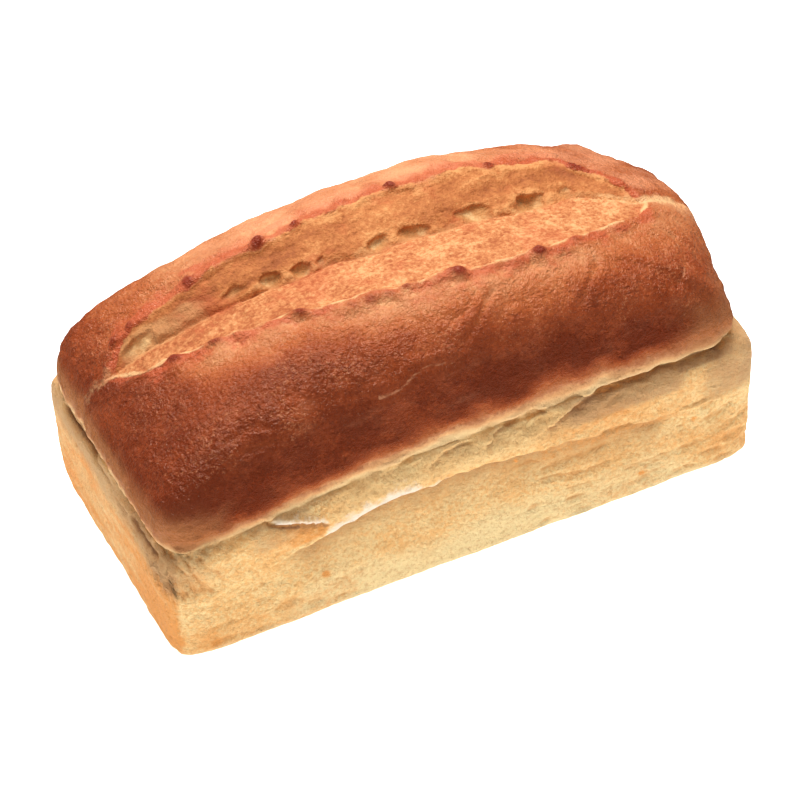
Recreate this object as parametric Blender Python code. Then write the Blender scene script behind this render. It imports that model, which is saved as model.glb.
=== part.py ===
"""Tin loaf: a bread baked in an oblong tin, uncut, with one long score along its crown.

The loaf is one piece of food and so one solid. Below the seam it keeps the shape of the tin.
Above the seam the crown has risen freely: it is domed, lopsided and a little narrower than the
tin, and its crust ends in a lip that rolls over the top of the walls. The score is a shallow V:
its front side opened wide and its back side stands up steeply. On the front wall the crumb
burst out under the crust in a band that ends in a fold.
Metres, +Z up, +X along the loaf, -Y the side with the fold. It rests on its flat bottom.
"""

import bmesh
import bpy
import numpy as np

# The tin gave these.
LENGTH = 0.2400
WIDTH = 0.1236
TIN_CORNER_POWER = 17.0
BOTTOM_EDGE_RADIUS = 0.0045
WALL_DRAFT = 0.0012

# The seam, where the crust comes out of the tin.
SEAM_LOW = 0.0492
SEAM_HIGH = 0.0585
SEAM_CLIMB_FROM = -0.1250
SEAM_CLIMB_TO = -0.0100
SHOULDER_HEIGHT = 0.0080
NOTCH_SHALLOW = 0.0012
NOTCH_DEEP = 0.0030
NOTCH_DEEP_FROM = 0.0200
NOTCH_DEEP_TO = 0.0600
LIP_HEIGHT = 0.0045
LIP_SAG = 0.0014

# The crown above the seam.
CROWN_TOP = 0.1116
CROWN_PEAK_X = 0.0180
CROWN_ARCH_POWER = 1.83
CROWN_DROP_LEFT = 0.0274
CROWN_DROP_RIGHT = 0.0362
CROWN_ROUNDNESS = 3.45
CROWN_CORNER_POWER = 13.0
CROWN_INSET_FRONT = 0.0036
CROWN_INSET_BACK = 0.0045
CROWN_INSET_LEFT = 0.0019
CROWN_INSET_RIGHT = 0.0058
END_SWELL = 0.0320
END_SWELL_X = 0.1165
END_SWELL_RADIUS = 0.0355
END_SWELL_POWER = 1.8

# The score along the crown.
SCORE_LEFT = -0.1140
SCORE_RIGHT = 0.1035
SCORE_END_FADE = 0.0100
SCORE_STEEPNESS = 0.15
GROOVE_SHARE = 0.61
FRONT_LIP_Y = -0.0320
FRONT_LIP_X = 0.0270
FRONT_LIP_POWER = 1.6
FRONT_LIP_RETURN_LEFT = 0.0405
FRONT_LIP_RETURN_RIGHT = 0.0177
BACK_LIP_Y = 0.0240
BACK_LIP_CLOSE = 0.0310
BACK_LIP_CLOSE_FROM = 0.0740
BACK_LIP_CLOSE_TO = 0.1030
LIP_RIDGE = 0.0011
LIP_RIDGE_WIDTH = 0.0035
SCORE_TOP_FROM = 0.25
SCORE_TOP_TO = 0.45

# The fold on the front wall, where the crumb burst out below the crust.
FOLD_DROP = 0.0110
FOLD_SINK_LEFT = 0.092
FOLD_SINK_RIGHT = 0.155
FOLD_LEVEL_FROM = -0.0350
FOLD_LEVEL_TO = 0.0040
FOLD_EDGE = 0.0030
FOLD_STEP_FAINT = 0.0005
FOLD_STEP_BOLD = 0.0010
FOLD_BOLD_FROM = -0.0620
FOLD_BOLD_TO = 0.0450
FOLD_LEFT = -0.1120
FOLD_RIGHT = 0.1100
FOLD_FADE = 0.0200

# Grid of the solid: cuts along each side of the starting cube, and where the lines crowd.
CUTS = (45, 31, 23)
NO_CROWDING = ()
CROWD_ACROSS = ((0.42, 0.12, 1.0), (-0.05, 0.12, 0.8))
CROWD_UPWARDS = ((0.0, 0.12, 5.0), (-1.0, 0.07, 4.0))

CRUST_COLOUR = (0.42, 0.15, 0.055, 1.0)
CRUST_ROUGHNESS = 0.45

HALF_LENGTH = LENGTH / 2
HALF_WIDTH = WIDTH / 2
TINY = 1e-9


def smooth_step(low, high, value):
    """Runs from 0 to 1 as value goes from low to high."""
    t = np.clip((value - low) / (high - low), 0.0, 1.0)
    return t * t * (3.0 - 2.0 * t)


def hump(value, radius):
    """A bell of height 1 and this radius."""
    return np.exp(-((value / radius) ** 2))


def blend(low, high, share):
    """Low where share is 0 and high where it is 1."""
    return low + (high - low) * share


def rolled_edge(share):
    """Inset of a quarter-round edge, from 0 at share 0 to 1 at its rim."""
    return 1.0 - np.sqrt(1.0 - np.clip(share, 0.0, 1.0) ** 2)


def seam_height(x):
    """The seam is low at the left end and climbs to a level run."""
    return blend(SEAM_LOW, SEAM_HIGH, smooth_step(SEAM_CLIMB_FROM, SEAM_CLIMB_TO, x))


def crown_height(x):
    """Height of the crown above the seam on the middle line, a lopsided arch."""
    along = x - CROWN_PEAK_X
    run = np.where(along < 0, HALF_LENGTH + CROWN_PEAK_X, HALF_LENGTH - CROWN_PEAK_X)
    drop = np.where(along < 0, CROWN_DROP_LEFT, CROWN_DROP_RIGHT)
    top = CROWN_TOP - drop * np.abs(along / run) ** CROWN_ARCH_POWER
    return top - seam_height(x)


def front_lip_y(x):
    """Line of the score's front lip, bowed towards the front."""
    along = x - FRONT_LIP_X
    run = np.where(along < 0, FRONT_LIP_X - SCORE_LEFT, SCORE_RIGHT - FRONT_LIP_X)
    back = np.where(along < 0, FRONT_LIP_RETURN_LEFT, FRONT_LIP_RETURN_RIGHT)
    return FRONT_LIP_Y + back * np.abs(along / run) ** FRONT_LIP_POWER


def back_lip_closing(x):
    """From 0 to 1 where the back lip turns in to close the score at its right end."""
    return smooth_step(BACK_LIP_CLOSE_FROM, BACK_LIP_CLOSE_TO, x)


def back_lip_y(x):
    """Line of the score's back lip, straight until it closes at the right end."""
    return BACK_LIP_Y - BACK_LIP_CLOSE * back_lip_closing(x)


def score_drop(x, y):
    """How far the score lies below the whole crown at x, y."""
    front = front_lip_y(x)
    back = back_lip_y(x)
    opening = np.maximum(back - front, TINY)
    groove = front + GROOVE_SHARE * opening
    floor_share = np.clip((y - front) / (groove - front), 0.0, 1.0)
    wall_share = np.clip((back - y) / (back - groove), 0.0, 1.0)
    ends = smooth_step(SCORE_LEFT, SCORE_LEFT + SCORE_END_FADE, x)
    ends = ends * smooth_step(SCORE_RIGHT, SCORE_RIGHT - SCORE_END_FADE, x)
    valley = np.minimum(floor_share, smooth_step(0.0, 1.0, wall_share))
    back_ridge = (1.0 - back_lip_closing(x)) * hump(y - back, LIP_RIDGE_WIDTH)
    ridge = hump(y - front, LIP_RIDGE_WIDTH) + back_ridge
    return ends * (SCORE_STEEPNESS * opening * valley - LIP_RIDGE * ridge)


def plan_size(a, b, power):
    """Size of a rounded rectangle through a, b, where the unit square has size 1."""
    size = (np.abs(a) ** power + np.abs(b) ** power) ** (1.0 / power)
    return np.maximum(size, TINY)


def plan_normal(a, b, power):
    """Outward direction in plan at a, b on the side of the loaf."""
    across = np.sign(a) * np.abs(a) ** (power - 1.0) / HALF_LENGTH
    along = np.sign(b) * np.abs(b) ** (power - 1.0) / HALF_WIDTH
    size = np.hypot(across, along) + TINY
    return np.stack([across / size, along / size], axis=1)


def base_points(a, b, c, power):
    """The part below the seam: a flat bottom, a small rounded edge and a straight wall."""
    out = np.maximum(np.abs(a), np.abs(b)) / plan_size(a, b, power)
    height = seam_height(a * out * HALF_LENGTH) * (1.0 + np.clip(c, -1.0, 0.0))
    edge = BOTTOM_EDGE_RADIUS * rolled_edge(1.0 - height / BOTTOM_EDGE_RADIUS)
    draft = WALL_DRAFT * (1.0 - height / SEAM_LOW)
    shrink = edge + np.maximum(draft, 0.0)
    x = a * out * (HALF_LENGTH - shrink)
    y = b * out * (HALF_WIDTH - shrink)
    return np.stack([x, y, height], axis=1)


def crown_points(a, b, c, power):
    """The part above the seam: a rounded box that narrows into a lopsided dome."""
    rise = np.clip(c, 0.0, 1.0)
    plan = plan_size(a, b, power)
    reach = (plan**CROWN_ROUNDNESS + rise**CROWN_ROUNDNESS) ** (1.0 / CROWN_ROUNDNESS)
    share = rise / reach
    x = a / reach * (HALF_LENGTH - np.where(a < 0, CROWN_INSET_LEFT, CROWN_INSET_RIGHT))
    y = b / reach * (HALF_WIDTH - np.where(b < 0, CROWN_INSET_FRONT, CROWN_INSET_BACK))
    above = crown_height(x) * share
    crown = np.stack([x, y, seam_height(x) + above], axis=1)

    outward = np.stack([0.6 * x, 1.6 * y, above], axis=1)
    outward /= np.linalg.norm(outward, axis=1)[:, None] + TINY
    swell = hump(x - END_SWELL_X, END_SWELL_RADIUS) * hump(y, END_SWELL_RADIUS)
    crown += (END_SWELL * share**END_SWELL_POWER * swell)[:, None] * outward

    on_top = smooth_step(SCORE_TOP_FROM, SCORE_TOP_TO, share)
    crown[:, 2] -= on_top * score_drop(crown[:, 0], crown[:, 1])
    return crown


def notch_depth(x, side):
    """The notch under the lip is deep at the ends and on the right, shallow at the front."""
    right = smooth_step(NOTCH_DEEP_FROM, NOTCH_DEEP_TO, x)
    end = smooth_step(0.3, 0.8, np.abs(side[:, 0]))
    return blend(NOTCH_SHALLOW, NOTCH_DEEP, np.maximum(right, end))


def crown_inset(side):
    """How much narrower the crown is than the wall below it, on each side."""
    ends = np.where(side[:, 0] < 0, CROWN_INSET_LEFT, CROWN_INSET_RIGHT)
    flanks = np.where(side[:, 1] < 0, CROWN_INSET_FRONT, CROWN_INSET_BACK)
    return ends * side[:, 0] ** 2 + flanks * side[:, 1] ** 2


def fold_drop(x):
    """How far the fold lies below the seam: level near the middle, sinking to both sides."""
    left = FOLD_SINK_LEFT * np.maximum(FOLD_LEVEL_FROM - x, 0.0)
    right = FOLD_SINK_RIGHT * np.maximum(x - FOLD_LEVEL_TO, 0.0)
    return FOLD_DROP + left + right


def fold_inset(x, side, over):
    """The front wall steps in below the fold, most of all near the middle."""
    ends = smooth_step(FOLD_LEFT, FOLD_LEFT + FOLD_FADE, x)
    ends = ends * smooth_step(FOLD_RIGHT, FOLD_RIGHT - FOLD_FADE, x)
    bold = smooth_step(FOLD_BOLD_FROM, FOLD_BOLD_FROM + FOLD_FADE, x)
    bold = bold * smooth_step(FOLD_BOLD_TO, FOLD_BOLD_TO - FOLD_FADE, x)
    front = smooth_step(-0.5, -0.9, side[:, 1])
    drop = fold_drop(x)
    below = smooth_step(-drop, -drop - FOLD_EDGE, over)
    return (FOLD_STEP_FAINT + FOLD_STEP_BOLD * bold) * ends * front * below


def loaf_points(cube):
    """Maps points on the skin of a cube from -1 to 1 onto the skin of the loaf."""
    a, b, c = cube.T
    power = blend(TIN_CORNER_POWER, CROWN_CORNER_POWER, smooth_step(-0.15, 0.15, c))
    is_crown = c > 0
    points = np.where(
        is_crown[:, None], crown_points(a, b, c, power), base_points(a, b, c, power)
    )

    # The wall's shoulder rolls in to the notch, and the crust's lip rolls out over it.
    side = plan_normal(a, b, power)
    over = points[:, 2] - seam_height(points[:, 0])
    depth = notch_depth(points[:, 0], side)
    shoulder = rolled_edge(1.0 + over / SHOULDER_HEIGHT) * (depth + crown_inset(side))
    below = shoulder + fold_inset(points[:, 0], side, over)
    lip = rolled_edge(1.0 - over / LIP_HEIGHT) * depth
    inset = np.where(is_crown, lip, below)
    points[:, 0] -= inset * side[:, 0]
    points[:, 1] -= inset * side[:, 1]
    sag = LIP_SAG * depth / NOTCH_DEEP * hump(over - LIP_HEIGHT / 2, LIP_HEIGHT / 2)
    points[:, 2] -= np.where(is_crown, sag, 0.0)
    return points


def crowded(value, spots):
    """Moves evenly spaced grid lines towards spots, each given as place, radius, strength."""
    line = np.linspace(-1.0, 1.0, 2001)
    density = np.ones_like(line)
    for place, radius, strength in spots:
        density += strength * hump(line - place, radius)
    count = np.cumsum(density) - density[0]
    return np.interp(value, 2.0 * count / count[-1] - 1.0, line)


def cut_along(mesh, axis, cuts):
    """Cuts every edge that runs along this axis, all the way round the cube."""
    edges = []
    for edge in mesh.edges:
        run = edge.verts[1].co - edge.verts[0].co
        if abs(run[axis]) > 0.5 * run.length:
            edges.append(edge)
    bmesh.ops.subdivide_edges(mesh, edges=edges, cuts=cuts, use_grid_fill=True)


def crust_material():
    """Browned crust, a little glossy."""
    material = bpy.data.materials.new("crust")
    material.use_nodes = True
    shader = material.node_tree.nodes["Principled BSDF"]
    shader.inputs["Base Color"].default_value = CRUST_COLOUR
    shader.inputs["Roughness"].default_value = CRUST_ROUGHNESS
    shader.inputs["Metallic"].default_value = 0.0
    return material


def build_loaf(collection):
    """Makes the loaf from a cube: cuts it into a grid, shapes it, and leaves one flat bottom."""
    mesh = bmesh.new()
    bmesh.ops.create_cube(mesh, size=2.0)
    for axis, cuts in enumerate(CUTS):
        cut_along(mesh, axis, cuts)
    under = [face for face in mesh.faces if face.normal.z < -0.5]
    bmesh.ops.dissolve_faces(mesh, faces=under, use_verts=True)

    cube = np.array([vertex.co for vertex in mesh.verts])
    for axis, spots in enumerate((NO_CROWDING, CROWD_ACROSS, CROWD_UPWARDS)):
        cube[:, axis] = crowded(cube[:, axis], spots)
    for vertex, point in zip(mesh.verts, loaf_points(cube)):
        vertex.co = point
    bmesh.ops.recalc_face_normals(mesh, faces=mesh.faces)

    data = bpy.data.meshes.new("loaf")
    mesh.to_mesh(data)
    mesh.free()
    data.materials.append(crust_material())
    data.shade_smooth()
    loaf = bpy.data.objects.new("loaf", data)
    collection.objects.link(loaf)


for old in list(bpy.data.objects):
    bpy.data.objects.remove(old, do_unlink=True)

tin_loaf = bpy.data.collections.new("tin_loaf")
bpy.context.scene.collection.children.link(tin_loaf)
build_loaf(tin_loaf)
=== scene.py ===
# %% [markdown]
# # A tin loaf
# This is an uncut white loaf that was baked in an oblong tin. Up to the seam it keeps the shape
# of the tin, with pale straight walls. Above the seam the dough rose freely into a domed, browned
# crown. The baker cut one long score along the top, and it opened into a shallow valley.
# The loaf is one piece of food, so it is one mesh. First comes the frame that it has to fit.

# %% Load the frame
import math

import bmesh
import bpy
import numpy as np
from mathutils import Matrix, Vector, noise


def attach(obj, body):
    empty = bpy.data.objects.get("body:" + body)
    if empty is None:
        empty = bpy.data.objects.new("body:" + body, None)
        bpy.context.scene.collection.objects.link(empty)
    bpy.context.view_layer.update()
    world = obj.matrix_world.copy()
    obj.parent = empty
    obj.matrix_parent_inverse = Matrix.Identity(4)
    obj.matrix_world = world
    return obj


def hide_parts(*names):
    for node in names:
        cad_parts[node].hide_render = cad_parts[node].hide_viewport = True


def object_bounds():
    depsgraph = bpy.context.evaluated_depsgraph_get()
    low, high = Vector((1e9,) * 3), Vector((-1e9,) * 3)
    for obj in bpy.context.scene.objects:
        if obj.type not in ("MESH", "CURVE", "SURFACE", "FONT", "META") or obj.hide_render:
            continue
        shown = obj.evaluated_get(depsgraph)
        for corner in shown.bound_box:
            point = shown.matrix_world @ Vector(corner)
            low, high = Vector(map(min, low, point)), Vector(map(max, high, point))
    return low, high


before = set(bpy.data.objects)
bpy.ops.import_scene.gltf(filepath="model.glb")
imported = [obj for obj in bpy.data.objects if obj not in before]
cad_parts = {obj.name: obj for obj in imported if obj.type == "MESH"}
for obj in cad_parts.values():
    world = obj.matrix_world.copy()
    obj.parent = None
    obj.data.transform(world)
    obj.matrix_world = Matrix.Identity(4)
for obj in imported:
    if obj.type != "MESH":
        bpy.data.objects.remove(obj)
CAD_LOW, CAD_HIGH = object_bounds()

MM = 0.001
SIZE = CAD_HIGH - CAD_LOW
print("the loaf measures", [round(side / MM, 1) for side in SIZE], "mm")

# %% [markdown]
# ## Camera
# The camera stands a good metre away, to the left of the front wall, and looks down on the
# loaf. A long lens keeps the sides almost parallel.
# The direction could come from a Track To constraint, but plain angles say where it stands.

# %% Place the camera
CAMERA_DISTANCE = 1.150
CAMERA_AZIMUTH = math.radians(-24.04)
CAMERA_ELEVATION = math.radians(42.5)
CAMERA_ROLL = math.radians(-3.0)
CAMERA_LENS = 134.7
AIM_ABOVE = math.radians(1.149)
AIM_LEFT = math.radians(0.064)

back = Vector((
    math.sin(CAMERA_AZIMUTH) * math.cos(CAMERA_ELEVATION),
    -math.cos(CAMERA_AZIMUTH) * math.cos(CAMERA_ELEVATION),
    math.sin(CAMERA_ELEVATION),
))
lens = bpy.data.cameras.new("camera")
lens.lens = CAMERA_LENS
lens.clip_start = 0.05
camera = bpy.data.objects.new("camera", lens)
facing = (-back).to_track_quat("-Z", "Y").to_matrix()
aim = Matrix.Rotation(CAMERA_ROLL, 3, "Z") @ Matrix.Rotation(AIM_ABOVE, 3, "X")
camera.matrix_world = (facing @ aim @ Matrix.Rotation(AIM_LEFT, 3, "Y")).to_4x4()
camera.location = back * CAMERA_DISTANCE
bpy.context.scene.collection.objects.link(camera)
bpy.context.scene.camera = camera
print("the camera stands at", [round(place, 3) for place in camera.location])

# %% [markdown]
# ## Floor and light
# The loaf stands on a white table that glows, so that light comes back up onto the pale walls
# and the shadow stays faint. One strong soft box hangs above and behind the loaf, and three weak
# ones lift its sides. The room is an even white. Neither floor nor room shows in reflections,
# where their white would lie on the dark crust like a haze.

# %% Build the floor
FLOOR_SIZE = 12.0
FLOOR_COLOUR = (0.62, 0.62, 0.62, 1.0)
FLOOR_GLOW = 1.18

floor_shape = bmesh.new()
bmesh.ops.create_grid(floor_shape, x_segments=1, y_segments=1, size=FLOOR_SIZE / 2)
floor_mesh = bpy.data.meshes.new("floor")
floor_shape.to_mesh(floor_mesh)
floor_shape.free()
floor = bpy.data.objects.new("floor", floor_mesh)
bpy.context.scene.collection.objects.link(floor)
floor_paint = bpy.data.materials.new("floor_paint")
floor_paint.use_nodes = True
floor_shader = floor_paint.node_tree.nodes["Principled BSDF"]
floor_shader.inputs["Base Color"].default_value = FLOOR_COLOUR
floor_shader.inputs["Roughness"].default_value = 0.9
floor_shader.inputs["Emission Color"].default_value = (1.0, 1.0, 1.0, 1.0)
floor_shader.inputs["Emission Strength"].default_value = FLOOR_GLOW
floor_mesh.materials.append(floor_paint)
floor.visible_glossy = False
print("the floor is", FLOOR_SIZE, "m wide")

# %% Hang the lights
ROOM_LIGHT = 0.28
SOFT_BOXES = {
    # name: place, width, watts
    "soft_box_top": ((0.12, 0.42, 1.25), 0.75, 24.0),
    "soft_box_left": ((-1.30, -0.10, 0.90), 0.9, 1.0),
    "soft_box_front": ((-0.50, -1.25, 0.75), 0.9, 1.7),
    "soft_box_back": ((-0.15, 1.30, 0.80), 1.2, 1.0),
}


def hang(name, place, width, watts):
    """A square soft box at this place that faces the loaf."""
    lamp = bpy.data.lights.new(name, "AREA")
    lamp.size = width
    lamp.energy = watts
    box = bpy.data.objects.new(name, lamp)
    box.location = place
    box.rotation_euler = (-Vector(place)).to_track_quat("-Z", "Y").to_euler()
    bpy.context.scene.collection.objects.link(box)


for name, (place, width, watts) in SOFT_BOXES.items():
    hang(name, place, width, watts)
room = bpy.data.worlds.new("room")
room.use_nodes = True
room.node_tree.nodes["Background"].inputs["Color"].default_value = (1.0, 1.0, 1.0, 1.0)
room.node_tree.nodes["Background"].inputs["Strength"].default_value = ROOM_LIGHT
bpy.context.scene.world = room
room.cycles_visibility.glossy = False
bpy.context.scene.view_settings.view_transform = "Standard"
print(len(SOFT_BOXES), "soft boxes in a white room")

# %% [markdown]
# ## Small helpers
# The loaf is shaped by formulas that move the points of a fine grid. Three curves do most of the
# work: a soft step, a bell and a quarter round.

# %% Define the curves
TINY = 1e-9


def smooth_step(low, high, value):
    """Runs from 0 to 1 as value goes from low to high."""
    t = np.clip((value - low) / (high - low), 0.0, 1.0)
    return t * t * (3.0 - 2.0 * t)


def hump(value, radius):
    """A bell of height 1 and this radius."""
    return np.exp(-((value / radius) ** 2))


def blend(low, high, share):
    """Low where share is 0 and high where it is 1."""
    return low + (high - low) * share


def rolled_edge(share):
    """Inset of a quarter-round edge, from 0 at share 0 to 1 at its rim."""
    return 1.0 - np.sqrt(1.0 - np.clip(share, 0.0, 1.0) ** 2)


def window(low, high, fade, value):
    """1 between low and high, fading to 0 outside them."""
    return smooth_step(low - fade, low, value) * smooth_step(high + fade, high, value)


def climb(value, low, high):
    """Soft step between two places in mm."""
    return smooth_step(low * MM, high * MM, value)


def span(value, low, high, fade):
    """Window between two places in mm."""
    return window(low * MM, high * MM, fade * MM, value)


def lumps(points, size, seed=0.0, stretch=(1.0, 1.0, 1.0)):
    """Soft noise from about -1 to 1 at each point, with lumps of this size."""
    spots = points / (np.array(stretch) * size) + seed
    return np.array([noise.noise(Vector(spot)) for spot in spots])


def cells(points, size, seed=0.0):
    """Distance to the nearest of many scattered dots, from 0 to about 1."""
    spots = points / size + seed
    return np.array([noise.voronoi(Vector(spot))[0][0] for spot in spots])


print("a soft step runs from", smooth_step(0, 1, 0.0), "to", smooth_step(0, 1, 1.0))

# %% [markdown]
# ## Lines of the loaf
# Four lines run along the loaf: the seam where the crust left the tin, the fold on the front wall
# where soft crumb burst out below the crust, and the front and back lips of the score. Each is
# a formula of the place along the loaf, with a little unevenness from noise.

# %% Set the sizes of the loaf
HALF_LENGTH = SIZE.x / 2
HALF_WIDTH = SIZE.y / 2
TIN_CORNER_POWER = 17.0
BOTTOM_EDGE_RADIUS = 4.5 * MM
WALL_DRAFT = 1.2 * MM

SEAM_LOW = 49.2 * MM
SEAM_HIGH = 58.5 * MM
SEAM_CLIMB_FROM = -125.0 * MM
SEAM_CLIMB_TO = -10.0 * MM

CROWN_TOP = 111.6 * MM
CROWN_PEAK_X = 18.0 * MM
CROWN_ARCH_POWER = 1.83
CROWN_DROP_LEFT = 27.4 * MM
CROWN_DROP_RIGHT = 36.2 * MM
CROWN_ROUNDNESS = 3.45
CROWN_CORNER_POWER = 13.0
CROWN_INSET_FRONT = 3.6 * MM
CROWN_INSET_BACK = 4.5 * MM
CROWN_INSET_LEFT = 1.9 * MM
CROWN_INSET_RIGHT = 5.8 * MM
END_SWELL = 32.0 * MM
END_SWELL_X = 116.5 * MM
END_SWELL_RADIUS = 35.5 * MM
END_SWELL_POWER = 1.8

SCORE_LEFT = -114.0 * MM
SCORE_RIGHT = 103.5 * MM
SCORE_END_FADE = 10.0 * MM
SCORE_STEEPNESS = 0.15
GROOVE_SHARE = 0.61
FRONT_LIP_Y = -32.0 * MM
FRONT_LIP_X = 27.0 * MM
FRONT_LIP_POWER = 1.6
FRONT_LIP_RETURN_LEFT = 40.5 * MM
FRONT_LIP_RETURN_RIGHT = 17.7 * MM
BACK_LIP_Y = 24.0 * MM
BACK_LIP_CLOSE = 31.0 * MM
BACK_LIP_CLOSE_FROM = 74.0 * MM
BACK_LIP_CLOSE_TO = 103.0 * MM

FOLD_DROP = 13.4 * MM
FOLD_SINK_LEFT = 0.115
FOLD_SINK_RIGHT = 0.100
FOLD_LEVEL_FROM = -35.0 * MM
FOLD_LEVEL_TO = 4.0 * MM
print("the seam stands between", SEAM_LOW / MM, "and", SEAM_HIGH / MM, "mm")


# %% Draw the seam, the fold and the arch
def along_line(x, size, seed):
    """Unevenness of a line along the loaf, from about -1 to 1."""
    points = np.stack([x, np.zeros_like(x), np.zeros_like(x)], axis=1)
    return lumps(points, size, seed)


def seam_height(x):
    """The seam is low at the left end and climbs to a level run."""
    return blend(SEAM_LOW, SEAM_HIGH, smooth_step(SEAM_CLIMB_FROM, SEAM_CLIMB_TO, x))


def crown_height(x):
    """Height of the crown above the seam on the middle line, a lopsided arch."""
    along = x - CROWN_PEAK_X
    run = np.where(along < 0, HALF_LENGTH + CROWN_PEAK_X, HALF_LENGTH - CROWN_PEAK_X)
    drop = np.where(along < 0, CROWN_DROP_LEFT, CROWN_DROP_RIGHT)
    top = CROWN_TOP - drop * np.abs(along / run) ** CROWN_ARCH_POWER
    return top - seam_height(x)


def fold_drop(x):
    """How far the fold lies below the seam: level near the middle, sinking to both sides."""
    left = FOLD_SINK_LEFT * np.maximum(FOLD_LEVEL_FROM - x, 0.0)
    right = FOLD_SINK_RIGHT * np.maximum(x - FOLD_LEVEL_TO, 0.0)
    ragged = 1.1 * MM * along_line(x, 11 * MM, 3.0) + 0.8 * MM * along_line(x, 4.5 * MM, 8.0)
    return FOLD_DROP + left + right + ragged


# %% Draw the lips of the score
def front_lip_y(x):
    """Line of the score's front lip, bowed towards the front."""
    along = x - FRONT_LIP_X
    run = np.where(along < 0, FRONT_LIP_X - SCORE_LEFT, SCORE_RIGHT - FRONT_LIP_X)
    turn = np.where(along < 0, FRONT_LIP_RETURN_LEFT, FRONT_LIP_RETURN_RIGHT)
    ragged = 1.3 * MM * along_line(x, 14 * MM, 21.0) + 0.9 * MM * along_line(x, 5 * MM, 27.0)
    return FRONT_LIP_Y + turn * np.abs(along / run) ** FRONT_LIP_POWER + ragged


def back_lip_y(x):
    """Line of the score's back lip, ragged, and closing at the right end."""
    closing = smooth_step(BACK_LIP_CLOSE_FROM, BACK_LIP_CLOSE_TO, x)
    ragged = 2.2 * MM * along_line(x, 15 * MM, 33.0) + 1.2 * MM * along_line(x, 6 * MM, 39.0)
    return BACK_LIP_Y - BACK_LIP_CLOSE * closing + ragged * (1.0 - closing)


def groove_y(x):
    """Line of the score's deepest crease."""
    front = front_lip_y(x)
    ragged = 0.9 * MM * along_line(x, 12 * MM, 51.0)
    return front + GROOVE_SHARE * np.maximum(back_lip_y(x) - front, TINY) + ragged


def score_ends(x):
    """1 along the score, fading to 0 at its two ends."""
    left = smooth_step(SCORE_LEFT, SCORE_LEFT + SCORE_END_FADE, x)
    return left * smooth_step(SCORE_RIGHT, SCORE_RIGHT - SCORE_END_FADE, x)


middle = np.array([0.0])
opening = (back_lip_y(middle) - front_lip_y(middle))[0]
print("in the middle the score opens", round(opening / MM, 1), "mm")

# %% [markdown]
# ## The grid
# The surface starts as a cube whose sides are cut into a fine net. A Subdivision Surface would
# spread its points evenly, but here the lines have to crowd at the seam, the fold and the lips,
# so that those edges come out crisp. The underside stays one flat face, as the tin left it.

# %% Cut a cube into a net
CUTS = (225, 117, 103)
FRONT_LIP_ROW = -0.38
GROOVE_ROW = 0.10
BACK_LIP_ROW = 0.42
FOLD_ROW = -0.25
CROWDS = (
    # place, radius and strength of each crowd of lines: along, across and up the loaf
    (),
    ((FRONT_LIP_ROW, 0.07, 1.2), (GROOVE_ROW, 0.09, 1.2), (BACK_LIP_ROW, 0.07, 1.5)),
    ((0.0, 0.06, 4.0), (FOLD_ROW, 0.03, 3.0), (-1.0, 0.07, 2.0)),
)


def cut_along(net, axis, cuts):
    """Cuts every edge that runs along this axis, all the way round the cube."""
    edges = []
    for edge in net.edges:
        run = edge.verts[1].co - edge.verts[0].co
        if abs(run[axis]) > 0.5 * run.length:
            edges.append(edge)
    bmesh.ops.subdivide_edges(net, edges=edges, cuts=cuts, use_grid_fill=True)


def crowded(value, spots):
    """Moves evenly spaced grid lines towards spots, each given as place, radius, strength."""
    line = np.linspace(-1.0, 1.0, 2001)
    density = np.ones_like(line)
    for place, radius, strength in spots:
        density += strength * hump(line - place, radius)
    count = np.cumsum(density) - density[0]
    return np.interp(value, 2.0 * count / count[-1] - 1.0, line)


net = bmesh.new()
bmesh.ops.create_cube(net, size=2.0)
underside = [face for face in net.faces if face.normal.z < -0.5]
bmesh.ops.delete(net, geom=underside, context="FACES_ONLY")
for axis, cuts in enumerate(CUTS):
    cut_along(net, axis, cuts)
rim = [edge for edge in net.edges if edge.is_boundary]
bmesh.ops.holes_fill(net, edges=rim, sides=0)
cube = np.array([vertex.co for vertex in net.verts])
for axis, spots in enumerate(CROWDS):
    cube[:, axis] = crowded(cube[:, axis], spots)
print(len(net.verts), "points and", len(net.faces), "faces")

# %% [markdown]
# ## The form of the loaf
# Every point of the cube's skin is moved onto the loaf. Below the seam it goes to a straight tin
# wall. Above the seam it goes to a superellipsoid, a rounded box that narrows into a dome. On the
# top, three rows of the net are pulled onto the two lips and the groove before the score sinks
# in. A Boolean cut would leave a hard, clean edge that dough never has.

# %% Measure the plan
LIP_ROWS = (FRONT_LIP_ROW, GROOVE_ROW, BACK_LIP_ROW)


def plan_size(a, b, power):
    """Size of a rounded rectangle through a, b, where the unit square has size 1."""
    size = (np.abs(a) ** power + np.abs(b) ** power) ** (1.0 / power)
    return np.maximum(size, TINY)


def plan_normal(a, b, power):
    """Outward direction in plan at a, b on the side of the loaf."""
    across = np.sign(a) * np.abs(a) ** (power - 1.0) / HALF_LENGTH
    along = np.sign(b) * np.abs(b) ** (power - 1.0) / HALF_WIDTH
    size = np.hypot(across, along) + TINY
    return np.stack([across / size, along / size], axis=1)


def crown_half_length(a):
    return HALF_LENGTH - np.where(a < 0, CROWN_INSET_LEFT, CROWN_INSET_RIGHT)


def crown_half_width(b):
    return HALF_WIDTH - np.where(b < 0, CROWN_INSET_FRONT, CROWN_INSET_BACK)


def plain_crown(a, b, c, power):
    """Place in plan, and share of the height, of a point on the crown before the score."""
    rise = np.clip(c, 0.0, 1.0)
    reach = plan_size(a, b, power) ** CROWN_ROUNDNESS + rise**CROWN_ROUNDNESS
    reach = reach ** (1.0 / CROWN_ROUNDNESS)
    x = a / reach * crown_half_length(a)
    y = b / reach * crown_half_width(b)
    return x, y, rise / reach


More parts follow.
